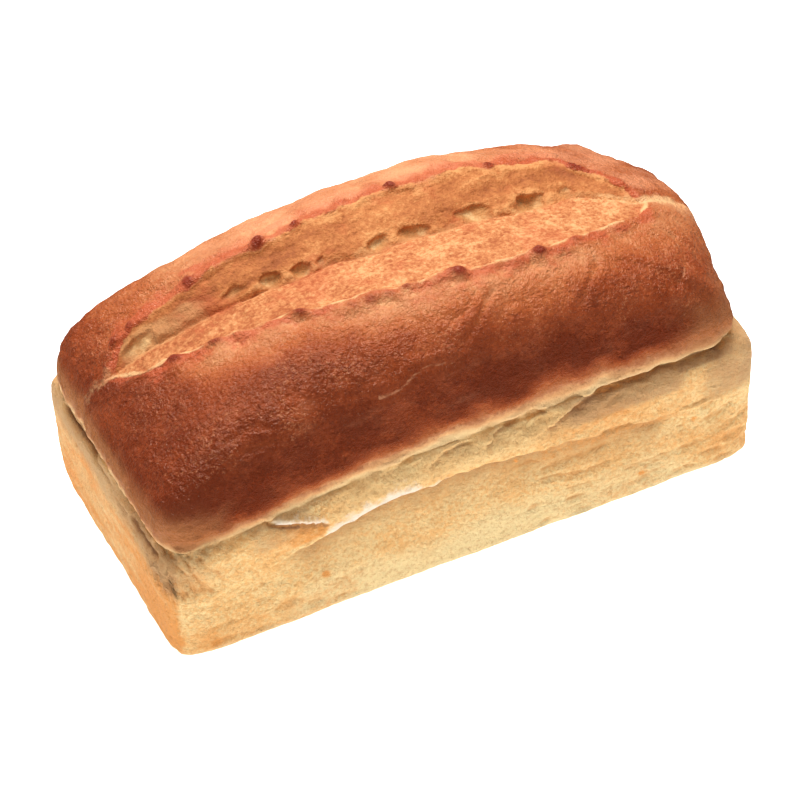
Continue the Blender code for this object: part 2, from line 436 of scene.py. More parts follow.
def height_share(x, y, power):
    """Share of the crown's height at x, y."""
    plan = plan_size(x / crown_half_length(x), y / crown_half_width(y), power)
    left_over = 1.0 - np.minimum(plan, 1.0) ** CROWN_ROUNDNESS
    return left_over ** (1.0 / CROWN_ROUNDNESS)


print("the crown is", round(2 * crown_half_width(-1.0) / MM, 1), "mm wide at the seam")

# %% Sink the score
LIP_RIDGE_FRONT = 1.0 * MM
LIP_RIDGE_BACK = 0.5 * MM
LIP_RIDGE_WIDTH = 3.2 * MM
RIM_DROP = 0.9 * MM
CREASE_DEPTH = 1.6 * MM
CREASE_WIDTH = 1.6 * MM


def pulled_to_lips(a, b, c, power, x, y, share):
    """Moves y so that rows of the net run along the front lip, the groove and the back lip."""
    rows = (-1.0, *LIP_ROWS, 1.0)
    still = np.zeros_like(x)
    lines = (front_lip_y, groove_y, back_lip_y)
    shifts = [still]
    for row, line in zip(LIP_ROWS, lines):
        shifts.append(line(x) - plain_crown(a, np.full_like(b, row), c, power)[1])
    shifts.append(still)
    shift = still
    for step in range(len(rows) - 1):
        part = (b - rows[step]) / (rows[step + 1] - rows[step])
        here = blend(shifts[step], shifts[step + 1], part)
        shift = np.where((part >= 0) & (part <= 1), here, shift)
    return y + smooth_step(0.25, 0.60, share) * shift


def score_drop(x, y):
    """How far the score lies below the whole crown at x, y."""
    front, groove, back = front_lip_y(x), groove_y(x), back_lip_y(x)
    floor_share = np.clip((y - front) / np.maximum(groove - front, TINY), 0.0, 1.0)
    wall_share = np.clip((back - y) / np.maximum(back - groove, TINY), 0.0, 1.0)
    depth = SCORE_STEEPNESS * np.maximum(back - front, 0.0)
    on_floor = blend(RIM_DROP * smooth_step(0.0, 0.05, floor_share), depth, floor_share)
    on_wall = depth * blend(smooth_step(0.0, 0.20, wall_share), wall_share, 0.92)
    valley = np.where(y < groove, on_floor, on_wall)
    crease = CREASE_DEPTH * hump(y - groove, CREASE_WIDTH)
    uneven = 0.75 + 0.6 * along_line(x, 7 * MM, 61.0)
    front_ridge = LIP_RIDGE_FRONT * uneven * hump(y - front + 0.8 * MM, LIP_RIDGE_WIDTH)
    uneven = 0.75 + 0.9 * along_line(x, 6 * MM, 71.0)
    back_ridge = LIP_RIDGE_BACK * uneven * hump(y - back - 0.8 * MM, LIP_RIDGE_WIDTH)
    return score_ends(x) * (valley + crease - front_ridge - back_ridge)


# %% Shape the crown
def crown_points(a, b, c, power):
    """The part above the seam, with its score."""
    x, y, share = plain_crown(a, b, c, power)
    y = pulled_to_lips(a, b, c, power, x, y, share)
    share = height_share(x, y, power)
    above = crown_height(x) * share
    crown = np.stack([x, y, seam_height(x) + above], axis=1)

    outward = np.stack([0.6 * x, 1.6 * y, above], axis=1)
    outward /= np.linalg.norm(outward, axis=1)[:, None] + TINY
    swell = hump(x - END_SWELL_X, END_SWELL_RADIUS) * hump(y, END_SWELL_RADIUS)
    crown += (END_SWELL * share**END_SWELL_POWER * swell)[:, None] * outward

    on_top = smooth_step(0.25, 0.45, share)
    crown[:, 2] -= on_top * score_drop(crown[:, 0], crown[:, 1])
    return crown, share


# %% [markdown]
# The tin wall is straight, with a small rounded edge at the bottom. At the seam the wall rolls in
# to a notch and the crust rolls out over it. The notch is a shallow crease along the front and a
# real overhang at the right end. Below the fold the wall steps in, where the band of soft
# crumb stands proud of it.

# %% Shape the wall
FOLD_STEP_BOLD = 1.7 * MM
FOLD_STEP_FAINT = 0.35 * MM
FOLD_EDGE = 0.9 * MM
BAND_BULGE = 0.9 * MM
NOTCH_SHALLOW = 0.25 * MM
NOTCH_DEEP = 4.2 * MM
SHOULDER_HEIGHT = 7.0 * MM
SHOULDER_HEIGHT_FRONT = 12.5 * MM
LIP_HEIGHT = 4.5 * MM
LIP_SAG = 1.8 * MM


def base_points(a, b, c, power):
    """The part below the seam, with one row of the net along the fold."""
    out = np.maximum(np.abs(a), np.abs(b)) / plan_size(a, b, power)
    flat_x = a * out * HALF_LENGTH
    seam = seam_height(flat_x)
    height = seam * (1.0 + np.clip(c, -1.0, 0.0))
    front = smooth_step(-0.5, -0.9, plan_normal(a, b, power)[:, 1])
    shift = front * (-fold_drop(flat_x) - seam * FOLD_ROW)
    height += shift * np.where(c < FOLD_ROW, (1.0 + c) / (1.0 + FOLD_ROW), c / FOLD_ROW)
    edge = BOTTOM_EDGE_RADIUS * rolled_edge(1.0 - height / BOTTOM_EDGE_RADIUS)
    shrink = edge + WALL_DRAFT * np.maximum(1.0 - height / SEAM_LOW, 0.0)
    x = a * out * (HALF_LENGTH - shrink)
    y = b * out * (HALF_WIDTH - shrink)
    return np.stack([x, y, height], axis=1)


def notch_depth(x, side):
    """The notch under the lip is deep at the ends and on the right, shallow at the front."""
    right = climb(x, 56, 84)
    end = smooth_step(0.3, 0.8, np.abs(side[:, 0]))
    end *= np.where(x < 0, 0.45, 0.8)
    return blend(NOTCH_SHALLOW, NOTCH_DEEP, np.maximum(0.8 * right, end))


def crown_inset(side):
    """How much narrower the crown is than the wall below it, on each side."""
    ends = np.where(side[:, 0] < 0, CROWN_INSET_LEFT, CROWN_INSET_RIGHT)
    flanks = np.where(side[:, 1] < 0, CROWN_INSET_FRONT, CROWN_INSET_BACK)
    return ends * side[:, 0] ** 2 + flanks * side[:, 1] ** 2


def fold_inset(x, side, over):
    """The front wall bulges above the fold and steps in below it."""
    ends = span(x, -100, 100, 20)
    bold = span(x, -57, 26, 12)
    front = smooth_step(-0.5, -0.9, side[:, 1])
    drop = fold_drop(x)
    below = smooth_step(-drop + 0.2 * MM, -drop - FOLD_EDGE, over)
    step = blend(FOLD_STEP_FAINT, FOLD_STEP_BOLD, bold)
    band = BAND_BULGE * bold * np.sin(math.pi * np.clip(-over / drop, 0.0, 1.0) ** 1.5)
    back_out = smooth_step(-drop - 6 * MM, -drop - 22 * MM, over)
    return ends * front * (step * below * (1.0 - 0.6 * back_out) - band)


# %% Move the net onto the loaf
def loaf_points(cube):
    """Maps points on the skin of the cube onto the skin of the loaf."""
    a, b, c = cube.T
    power = blend(TIN_CORNER_POWER, CROWN_CORNER_POWER, smooth_step(-0.15, 0.15, c))
    is_crown = c > 0
    crown, share = crown_points(a, b, c, power)
    base = base_points(a, b, c, power)
    points = np.where(is_crown[:, None], crown, base)

    side = plan_normal(a, b, power)
    over = points[:, 2] - seam_height(points[:, 0])
    depth = notch_depth(points[:, 0], side)
    soft = span(points[:, 0], -62, 34, 14) * smooth_step(-0.5, -0.9, side[:, 1])
    shoulder_height = blend(SHOULDER_HEIGHT, SHOULDER_HEIGHT_FRONT, soft)
    shoulder = rolled_edge(1.0 + over / shoulder_height) * (depth + crown_inset(side))
    below = shoulder + fold_inset(points[:, 0], side, over)
    lip = rolled_edge(1.0 - over / LIP_HEIGHT) * depth
    inset = np.where(is_crown, lip, below)
    points[:, 0] -= inset * side[:, 0]
    points[:, 1] -= inset * side[:, 1]
    sag = LIP_SAG * depth / NOTCH_DEEP * hump(over - LIP_HEIGHT / 2, LIP_HEIGHT / 2)
    points[:, 2] -= np.where(is_crown, sag, 0.0)
    return points, side, share, over


def place(net, points):
    """Moves every point of the net, and returns the outward direction at each."""
    for vertex, point in zip(net.verts, points):
        vertex.co = point
    net.normal_update()
    return np.array([vertex.normal for vertex in net.verts])


points, side, share, over = loaf_points(cube)
bmesh.ops.recalc_face_normals(net, faces=net.faces)
outward = place(net, points)
is_crown = cube[:, 2] > 0
print("the plain form is", round((points[:, 2].max() - points[:, 2].min()) / MM, 1), "mm high")

# %% [markdown]
# ## Relief
# Now the smooth form gets what baking did to it. The crown has shallow dents, blisters stand on
# the lips of the score, the crumb inside the score is torn and full of holes, and the crust
# tore in slanting strips where it left the tin. All of it is real shape: each point moves
# along its own outward direction, so a lift is in metres, and a minus digs in.

# %% Say where each point lies
x, y, z = points.T
facing_front = smooth_step(-0.4, -0.8, side[:, 1])
facing_left = smooth_step(-0.4, -0.8, side[:, 0])
facing_right = smooth_step(0.4, 0.8, side[:, 0])
front_lip, groove, back_lip = front_lip_y(x), groove_y(x), back_lip_y(x)
on_top = smooth_step(0.30, 0.45, share) * is_crown
in_score = np.minimum(y - front_lip, back_lip - y)
in_score = np.where(on_top > 0.5, in_score, -20 * MM)
in_score -= 9 * MM * climb(x, 90, 108) + 11 * MM * climb(x, -93, -112)
torn_wall = smooth_step(groove - 0.4 * MM, groove + 0.6 * MM, y)
crumb = climb(in_score, -0.2, 0.6)
on_crust = is_crown * (1.0 - crumb)
on_wall = 1.0 - is_crown
print(int(crumb.sum()), "points lie in the score")

# %% Dent the crust and the walls
def bumps(size, seed, stretch=(1.0, 1.0, 1.0)):
    """Soft noise at the points of the loaf, with lumps of this size in mm."""
    return lumps(points, size * MM, seed, stretch)


outside = is_crown * climb(in_score, 2.5, -1.0)
lift = outside * climb(over, 0, 9) * (
    0.9 * MM * bumps(40, 5.0)
    + 0.55 * MM * bumps(16, 9.0)
    + 0.36 * MM * bumps(6, 13.0)
)
lift += 0.22 * MM * on_crust * bumps(2.6, 17.0)
crinkled = on_crust * span(over, 1, 13, 5)
lift += 0.55 * MM * crinkled * bumps(4.5, 18.0, (2.2, 1.0, 0.8))
beside_lip = hump(in_score + 3.5 * MM, 4.5 * MM) * outside * on_top * score_ends(x)
lift += 2.1 * MM * beside_lip * bumps(6.5, 19.0)
behind = climb(y - back_lip, 0, 6) * on_top
lift += 0.80 * MM * behind * outside * bumps(4.5, 20.0, (2.6, 1.0, 1.0))
lift += 0.35 * MM * behind * outside * bumps(2.4, 21.0, (2.6, 1.0, 1.0))
at_ends = on_crust * climb(np.abs(x), 92, 112)
lift += 0.55 * MM * at_ends * bumps(4.0, 22.0, (1.0, 1.0, 3.5))
lift += on_wall * (
    0.45 * MM * bumps(26, 23.0)
    + 0.35 * MM * bumps(8, 29.0, (2.0, 1.0, 1.0))
    + 0.26 * MM * bumps(2.8, 31.0)
)
print("dents reach", round(np.abs(lift).max() / MM, 2), "mm")

# %% Swell the right end and the foot of the front wall
END_BULGE = 2.4 * MM
lift += END_BULGE * is_crown * facing_right * hump(over - 22 * MM, 15 * MM)
lift += 0.9 * MM * on_wall * facing_right * climb(over, 0, -8)
lift += 0.8 * MM * on_wall * facing_front * climb(z, 34, 12)
print("the right end swells by", END_BULGE / MM, "mm")

# %% Raise the blisters on the lips
BLISTERS = (
    # place along the loaf, line it stands on, offset from it, radius and height, in mm
    (-42.5, "back", 0.5, 3.0, 2.0),
    (-27.6, "back", 0.8, 2.4, 1.6),
    (11.5, "back", 0.8, 2.6, 2.2),
    (51.0, "back", 0.8, 3.0, 1.5),
    (84.0, "back", 0.8, 3.0, 1.8),
    (-94.0, "back", 1.0, 3.0, 1.2),
    (-101.0, "back", 0.5, 2.6, 1.2),
    (-70.0, "back", 1.0, 4.0, 1.6),
    (-88.0, "front", -0.8, 3.0, 1.5),
    (-74.0, "front", -0.8, 3.0, 1.3),
    (-45.0, "front", -0.8, 3.2, 1.4),
    (-8.0, "front", -0.8, 2.6, 1.2),
    (11.0, "front", -0.8, 3.4, 1.8),
    (43.0, "front", -0.8, 3.0, 2.0),
    (59.0, "front", -0.8, 2.4, 1.0),
    (-28.0, "front", -3.0, 4.0, 0.9),
    (-21.5, "front", -3.2, 4.4, 1.1),
    (-15.0, "front", -2.4, 4.0, 0.9),
)
LIPS = {"front": front_lip, "back": back_lip}
char = np.zeros_like(x)
for along, lip_name, offset, radius, height in BLISTERS:
    beside = y - LIPS[lip_name] - offset * MM
    away = np.hypot(0.9 * (x - along * MM), 1.3 * beside) * (1.0 + 0.4 * bumps(3, along))
    bump = hump(away, 0.8 * radius * MM) * on_top
    lift += height * MM * bump
    char = np.maximum(char, bump * height / 2.0)
in_score -= 5 * MM * char
crumb *= 1.0 - smooth_step(0.1, 0.5, char)
print(len(BLISTERS), "blisters stand on the lips")

# %% Crease the crust
CREASES = (
    # depth of the crease, height of the ridge beside it, how pale it is, then its path, in mm
    (0.15, 0.8, 1.0, ((-32, -55, 88), (-25.7, -55, 88), (-22.6, -55, 89.5), (-18, -54, 92),
                      (-12.9, -53, 93), (-7.8, -54, 93), (-3.9, -54, 92))),
    (0.8, 0.6, 0.0, ((19, -42, 106), (14, -45, 104), (7.7, -50, 100), (0.8, -53, 96),
                     (-3, -56, 88))),
    (0.6, 0.5, 0.0, ((14.6, -38.5, 108), (9, -44.5, 105), (0.9, -46, 103), (-2.3, -43, 105))),
    (0.5, 0.4, 0.8, ((63.5, -35, 102), (62, -40, 100), (56.7, -45, 99), (51.4, -50, 96),
                     (49, -52, 93))),
    (0.3, 0.3, 0.6, ((71, -48, 94), (67, -51, 92), (62.6, -55, 87), (57.6, -56, 83),
                     (53.9, -57, 77))),
    (0.5, 0.5, 0.9, ((99.6, -28, 89), (99, -37.5, 86), (94, -45.6, 86), (89.8, -49, 86))),
    (0.6, 0.4, 0.2, ((-83, -52, 82), (-78, -53, 83.5), (-74, -53, 84), (-69.6, -54, 84))),
    (0.5, 0.5, 0.1, ((-90, -49, 86), (-78.6, -48, 88.5), (-62, -54, 85))),
    (0.4, 0.4, 0.5, ((-92, -50, 82), (-90, -53, 78), (-84, -55, 76), (-79, -55, 77))),
    (0.5, 0.5, 0.3, ((93, -21, 95), (98, -27, 91), (103, -33, 85), (105.5, -40.5, 80.5))),
    (0.5, 0.5, 0.3, ((100, -16, 93), (107.5, -21, 86.5), (113.5, -26, 77.5), (112.5, -38, 72))),
)


def distance_to(path):
    """Distance from each point of the loaf to a path of straight pieces."""
    spots = np.array(path) * MM
    nearest = np.full(len(points), np.inf)
    for start, end in zip(spots[:-1], spots[1:]):
        run = end - start
        part = np.clip((points - start) @ run / (run @ run), 0.0, 1.0)
        away = np.linalg.norm(points - start - part[:, None] * run, axis=1)
        nearest = np.minimum(nearest, away)
    return nearest


wander = 0.5 * MM * bumps(5, 25.0)
crack = np.zeros_like(x)
for depth, ridge, paleness, path in CREASES:
    away = np.maximum(distance_to(path) + wander, 0.0)
    lift -= depth * MM * hump(away, 1.2 * MM) * on_crust
    lift += ridge * MM * hump(away - 3.2 * MM, 3.0 * MM) * on_crust
    crack = np.maximum(crack, paleness * hump(away, 1.15 * MM))
print(len(CREASES), "creases in the crust")

# %% Hollow the holes at the foot of the torn wall
HOLES = (
    # place along the loaf, place above the groove, half length, half width and depth, in mm
    (-44.0, 2.6, 4.4, 2.6, 3.4),
    (-32.5, 2.6, 4.0, 2.4, 3.4),
    (-25.0, 2.4, 2.2, 1.4, 1.4),
    (-2.5, 2.6, 4.6, 2.4, 3.4),
    (11.0, 2.2, 7.0, 2.2, 2.4),
    (36.0, 2.8, 8.0, 3.2, 3.2),
    (59.0, 2.6, 8.0, 3.4, 4.0),
    (75.0, 2.8, 6.0, 2.4, 2.0),
    (-57.0, 3.4, 5.4, 2.2, 1.8),
    (-94.0, 2.4, 7.0, 3.6, 2.2),
)
INTO_LOAF = np.array([0.0, 0.72, -0.69])
hollow = np.zeros_like(x)
uneven = 0.30 * bumps(3.5, 37.0)
for along, above, half_length, half_width, depth in HOLES:
    away = np.hypot((x - along * MM) / half_length, (y - groove - above * MM) / half_width)
    dent = np.clip(1.0 - (away / MM + uneven) ** 2.0, 0.0, 1.0) ** 0.8 * on_top
    points += (depth * MM * dent)[:, None] * INTO_LOAF
    hollow = np.maximum(hollow, dent * min(depth / 3.0, 1.0))
print(len(HOLES), "holes at the foot of the torn wall")

# %% Tear the crumb in the score
strings = bumps(3.0, 41.0, (4.0, 1.0, 1.0))
pits = smooth_step(0.42, 0.18, cells(points, 3.2 * MM, 43.0))
deep_crumb = crumb * climb(in_score, 0, 3)
lift += deep_crumb * (1.0 - torn_wall) * (
    0.75 * MM * bumps(9, 45.0, (1.6, 1.0, 1.0))
    + 0.42 * MM * bumps(2.8, 47.0)
    - 0.45 * MM * pits
)
lift += deep_crumb * torn_wall * (
    0.9 * MM * bumps(8, 49.0, (1.8, 1.0, 1.0))
    + 0.40 * MM * strings
    + 0.30 * MM * bumps(2.2, 53.0)
    - 0.35 * MM * pits * smooth_step(0.0, 0.4, bumps(14, 55.0))
)
rim = hump(in_score - 0.8 * MM, 1.0 * MM) * (y < groove) * on_top
lift += 0.5 * MM * rim * (0.5 + bumps(5, 56.0))
print("the crumb is torn", round(np.abs(lift[crumb > 0.9]).max() / MM, 2), "mm deep")

# %% Tear the crust at the seam
TEARS = (
    # path of each tear as place along and height over the seam, then depth and reach, in mm
    (((-82, 1.5), (-75.4, -1.8), (-70.5, -4.2), (-64.3, -6.8), (-58.5, -9.0)), 2.4, 1.6),
    (((-36, -0.9), (-29, -0.5), (-22, 0.8), (-20, 0.4)), 0.9, 2.4),
    (((-19, -5.6), (-15, -3.5), (-10, -1.4), (-5, -0.9), (2, -0.9)), 1.4, 2.6),
    (((3, -5.4), (8, -4.0), (9.5, -1.2), (13, -0.2), (18, 0.8), (22, 1.9), (26, 2.5),
      (30, 0.0), (33, -1.4)), 1.7, 3.0),
    (((29, -6.8), (34, -6.0), (37, -4.4), (42, -2.4), (47, -0.6), (51, 0.2), (58, 1.6),
      (68, 1.2), (79, 1.8), (85, 1.6), (97, 1.0), (108, 0.2)), 2.2, 3.6),
)
TEAR_FADE = 3 * MM


def tear(gap, shown, depth, reach):
    """Lift where skin above a line folds over skin below it, and where that is tucked in."""
    under = climb(gap, 0.4, -0.6) * np.exp(np.minimum(gap, 0.0) / (reach * MM))
    lip = hump(gap - 1.3 * MM, 1.3 * MM)
    return depth * MM * shown * (0.35 * lip - under), shown * under


# Pocket shade: where skin is tucked in under a tear, the colour is painted darker as shade.
pocket_shade = np.zeros_like(x)
frayed = 0.35 * MM * bumps(2.5, 57.0) + 0.5 * MM * bumps(6, 59.0)
for path, depth, reach in TEARS:
    along, line = np.array(path).T * MM
    shown = facing_front * window(along[0] + TEAR_FADE, along[-1] - TEAR_FADE, TEAR_FADE, x)
    change, under = tear(over - np.interp(x, along, line) - frayed, shown, depth, reach)
    lift += change
    pocket_shade = np.maximum(pocket_shade, under * min(depth / 2.2, 1.0))
print(len(TEARS), "tears along the seam")

# %% Fold the skin under the lip of the left end
END_FOLDS = (
    # ends of each fold across the loaf, its height over the seam at each end, depth, reach, in mm
    (-66.0, -12.0, -8.0, -4.0, 2.2, 1.8),
    (-66.0, -26.0, -12.0, -7.5, 1.8, 1.8),
    (-66.0, -38.0, -16.5, -11.5, 1.4, 1.8),
    (-22.0, 6.0, -2.8, -2.4, 2.2, 1.8),
)
# The tucked-in skin of each fold also gets painted pocket shade.
for nearest, farthest, height_near, height_far, depth, reach in END_FOLDS:
    line = np.interp(y, [nearest * MM, farthest * MM], [height_near * MM, height_far * MM])
    line += 1.3 * MM * bumps(9, 60.0 + nearest)
    shown = facing_left * span(y, nearest, farthest, 6)
    change, under = tear(over - line, shown, depth, reach)
    lift += change
    pocket_shade = np.maximum(pocket_shade, 0.5 * under)
print(len(END_FOLDS), "folds on the left end")

# %% Wrinkle the corner under the lip
CORNER_WIDTH = 24 * MM
CORNER_FOLD_HEIGHT = 5.5
CORNER_FOLD_REACH = 0.15
round_corner = np.where(side[:, 1] < -0.7, x + HALF_LENGTH, -(y + HALF_WIDTH))
slant = round_corner + 0.45 * over
creased = np.stack([slant, 0.30 * over, np.zeros_like(x)], axis=1)
near_corner = hump(round_corner, CORNER_WIDTH) * (x < 0) * (y < 0.02)
wrinkled = near_corner * on_wall * span(over, -16, -1, 7)
folds = np.abs(lumps(creased, 5.0 * MM, 63.0)) + 0.6 * np.abs(lumps(creased, 2.6 * MM, 67.0))
folds = np.minimum(folds - 0.35, CORNER_FOLD_REACH)
lift += wrinkled * CORNER_FOLD_HEIGHT * MM * folds
print("the corner folds sink", round(-(wrinkled * folds).min() * CORNER_FOLD_HEIGHT, 2), "mm")

# %% Open the slot under the lip of the left end
SLOTS = (
    # ends of each slot across the loaf, height over the seam, half height and depth, in mm
    (9.0, 37.0, -2.2, 1.4, 3.4),
    (-48.0, -30.0, -3.0, 0.9, 1.2),
)
# Each slot is also painted dark, as pocket shade.
for nearest, farthest, height, half_height, depth in SLOTS:
    middle_line = height * MM + 1.0 * MM * bumps(12, 73.0)
    middle_line += 0.8 * MM * bumps(3.5, 74.0)
    along_slot = span(y, nearest, farthest, 5)
    slot = facing_left * along_slot * hump(over - middle_line, half_height * MM)
    lift -= depth * MM * slot
    pocket_shade = np.maximum(pocket_shade, slot)
print(len(SLOTS), "slots in the left end")

# %% Fray the lip
FRAY_HEIGHT = 0.7
frayed_lip = span(over, -1.5, 5, 2) * np.maximum(facing_front, facing_left)
frays = bumps(3.2, 75.0, (1.6, 1.0, 1.0)) + 0.8 * bumps(7, 77.0)
lift += FRAY_HEIGHT * MM * frayed_lip * frays
shaggy = facing_front * span(over, -8, 0, 2.5)
shaggy *= span(x, 42, 76, 7) + span(x, 13, 28, 4)
lift += 0.9 * MM * shaggy * bumps(2.8, 78.0)
print("the lip is frayed by", round(float(np.abs(frays).max()) * FRAY_HEIGHT, 2), "mm")

# %% Scar the tin walls
scars = bumps(3.4, 79.0, (3.2, 3.2, 0.8))
low_right = span(x, 30, 112, 25) * span(z, 6, 36, 8)
low_left = span(x, -105, -50, 12) * span(z, 5, 18, 6)
scarred = on_wall * facing_front * np.maximum(low_right, 0.8 * low_left)
lift -= 0.9 * MM * scarred * smooth_step(0.10, 0.45, scars)
pocks = smooth_step(0.20, 0.10, cells(points, 5.0 * MM, 83.0))
lift -= 0.5 * MM * on_wall * pocks
print("pocks and scars cover", round(100 * float((scarred * (scars > 0.4)).mean()), 1), "% of it")

# %% Move the points
lift *= climb(z, 0, 3)
points += lift[:, None] * outward
points[:, 2] = np.maximum(points[:, 2], 0.0)
outward = place(net, points)
crust_mesh = bpy.data.meshes.new("loaf_crust")
net.to_mesh(crust_mesh)
net.free()
crust_mesh.shade_smooth()
loaf = bpy.data.objects.new("loaf_crust", crust_mesh)
bpy.context.scene.collection.objects.link(loaf)
print("the crust has", len(crust_mesh.polygons), "faces")

# %% [markdown]
# ## What the oven coloured, and painted light and shade
# The crust browned most where it stood free and faced the heat, and stayed pale in the shelter
# of the tin. Some numbers paint light and shade into the colour instead: shade in pockets, slots,
# hollows and corners, light near the floor, on the band under the crust and under the back lip,
# and a sheen on the crown. Each kind of colouring is kept as one number per point. The material
# mixes its colours from these numbers and breaks up their edges with noise.

# %% Map the browning of the crust
seam = seam_height(x)
over = z - seam
share_up = np.clip(over / np.maximum(crown_height(x), TINY), 0.0, 1.0)
toward_left = climb(x, -80, -116)
toward_right = climb(x, 20, 85)
toward_end = climb(x, 74, 100)
PALE_REACH = (
    # place along the loaf and height of the pale edge there, in mm
    (-116, 12.0), (-106, 8.5), (-60, 10.0), (-30, 13.0),
    (20, 17.0), (45, 19.0), (75, 12.5), (100, 11.0),
)
reach_x, pale_reach = np.array(PALE_REACH).T * MM
streaks = facing_left * bumps(2.6, 105.0, (1.0, 1.0, 4.0))
pale_reach = np.interp(x, reach_x, pale_reach)
pale_reach *= 1.0 + 0.35 * bumps(12, 90.0) + 0.6 * streaks
rising = smooth_step(0.0, 1.0, over / pale_reach)
tan_left = 1.2 * toward_left * climb(over, 21, 4)
tan = tan_left + 0.75 * toward_end * climb(over, 34, 3)
tan_full = blend(2.0 * MM, 9.0 * MM, facing_left)
tan *= smooth_step(-1.0 * MM, tan_full, over + 3 * MM * streaks) * is_crown
bake = 0.86 + 0.09 * bumps(45, 91.0) + 0.11 * bumps(13, 93.0)
bake += 0.13 * smooth_step(0.78, 0.40, share_up) * facing_front
bake += 0.07 * span(x, -106, -84, 10) * span(over, 18, 32, 9) * (y < 0)
# Near the front lip the crust is paler, partly in its own colour and partly as a painted sheen of
# the top light.
near_lip = climb(y - front_lip, -26, -5) * on_top
near_lip *= climb(x, -102, -70) * (y < groove)
bake -= 0.49 * near_lip * blend(1.0, 0.65, toward_right)
on_back = climb(y - back_lip, -9, -2) * climb(x, -118, -66)
bake -= blend(0.22, 0.48, smooth_step(0.15, 0.65, share_up)) * on_back
# The top of the back turns pink, partly a painted sheen.
blush_and_sheen = on_back * climb(x, -84, -30) * smooth_step(0.45, 0.85, share_up) * is_crown
blush_and_sheen *= climb(y - back_lip, 0.5, 7) * (0.8 + 0.6 * bumps(12, 106.0))
bake -= 0.10 * climb(x, 70, 100) * smooth_step(0.55, 0.85, share_up) * (1 - on_back)
bake += 0.24 * climb(x, 40, 85) * on_back
glint = smooth_step(0.25, 0.80, share_up) * (1.0 + 0.8 * bumps(14, 97.0))
bake *= rising * is_crown
flush = np.maximum(hump(in_score + 2.0 * MM, 3.0 * MM), 0.6 * hump(in_score + 5.0 * MM, 6.0 * MM))
flush *= on_top * score_ends(x) * (0.80 + 0.5 * bumps(9, 94.0) + 0.40 * (y > groove))
rim = hump(in_score - 0.9 * MM, 1.5 * MM) * (y < groove) * (0.8 + 0.8 * bumps(7, 96.0))
right_crease = span(x, 88, 110, 6) * hump(y - groove, 2.8 * MM)
left_crease = span(x, -116, -106, 5) * hump(y - groove, 4.5 * MM)
rim = np.clip(np.maximum(rim, np.maximum(right_crease, 0.5 * left_crease)), 0.0, 1.0) * on_top
pale_crumb = 0.75 * span(x, -96, -76, 17) * span(y - groove, -1, 6, 5)
foot = span(x, -48, 92, 8) * hump(y - groove - 1 * MM, 2.2 * MM)
pale_crumb = np.maximum(pale_crumb, 0.7 * foot) * (1.0 + 0.6 * bumps(9, 99.0)) * on_top
dim = climb(x, -15, -62)
print("the crust is browned up to", round(bake.max(), 2))

# %% Map the tanned places of the walls, with their painted shade and light
toast = 0.10 + 0.12 * bumps(22, 95.0)
toast += 0.40 * span(x, -106, -52, 12) * span(z, 4, 12, 6)
toast += 0.22 * span(x, 50, 125, 25) * span(z, 6, 26, 8)
toast += 0.56 * facing_left * climb(z, 46, 30)
toast += 0.50 * facing_left * bumps(4, 101.0, (1.0, 4.0, 1.0)) * climb(z, 48, 36)
toast += 0.35 * facing_left * climb(y, -10, -52) * climb(z, 30, 14)
toast += 0.22 * facing_front * span(over, -12, 0, 3) * span(x, -50, 60, 20)
toast += 0.35 * facing_front * span(over, -22, -9, 5) * span(x, 34, 90, 14)
toast += 0.10 * facing_front * span(over, -40, -12, 8) * climb(x, -86, -100)
toast += 0.18 * facing_front * climb(x, 84, 108) * span(z, 6, 22, 8)
hook, hook_line = np.array(TEARS[0][0]).T * MM
TONGUE_LOW = ((-89, -19), (-72, -16.6), (-60, -16), (-57, -12))
tongue_x, tongue_line = np.array(TONGUE_LOW).T * MM
tongue_low = np.interp(x, tongue_x, tongue_line)
above_hook = over - np.interp(x, hook, hook_line)
tongue = span(x, -90, -59, 3) * smooth_step(tongue_low, tongue_low + 2 * MM, over)
tongue *= climb(above_hook, 0.5, -1.5) * facing_front
toast += 0.60 * tongue * climb(x, -95, -62)
SPOTS = (
    # place along the loaf, height and radius, in mm
    (-60.0, 20.0, 1.6), (-104.0, 6.0, 1.4), (18.0, 40.0, 1.0), (92.0, 30.0, 1.2), (70.0, 12.0, 1.0),
)
for along, up, radius in SPOTS:
    toast += 1.2 * hump(np.hypot(x - along * MM, z - up * MM), radius * MM) * facing_front
toast = np.clip(toast, 0.0, 1.5) * on_wall

# Grey crumb under the lip, in the corner and on the left end, darkened there as painted shade where
# the crust overhangs.
grey_crumb_and_shade = 0.7 * near_corner * climb(over, -30, -8)
grey_crumb_and_shade += 0.8 * facing_left * climb(over, -22, -6)
grey_crumb_and_shade += 0.9 * facing_front * span(x, 44, 82, 12) * span(over, -9, 2, 4)
grey_crumb_and_shade += 0.2 * facing_front * span(x, 14, 28, 4) * span(over, -5, 2, 2)
grey_crumb_and_shade += 0.5 * facing_front * span(x, -84, -66, 6) * span(over, -9, -1, 3)
facing_corner = np.maximum(facing_front, smooth_step(0.1, 0.5, side[:, 0]))
grey_crumb_and_shade += 0.85 * facing_corner * climb(x, 84, 106) * span(over, -18, -2, 9)
grey_crumb_and_shade = np.clip(grey_crumb_and_shade, 0.0, 1.0) * on_wall
shade = facing_front * span(x, -62, 70, 25) * climb(over + fold_drop(x), 0.5, -1.0)
shade *= np.exp(np.minimum(over + fold_drop(x), 0.0) / (12 * MM))
shade = np.maximum(shade, 0.34 * facing_left)
facing_back = smooth_step(0.4, 0.8, side[:, 1])
shade = np.maximum(shade, facing_back * (0.52 + 0.22 * bumps(18, 103.0)))
# Painted light: the front wall is lighter towards the bottom, as the glowing floor would light it.
lit_from_floor = facing_front * span(x, -66, 78, 22) * climb(z, 31, 3)
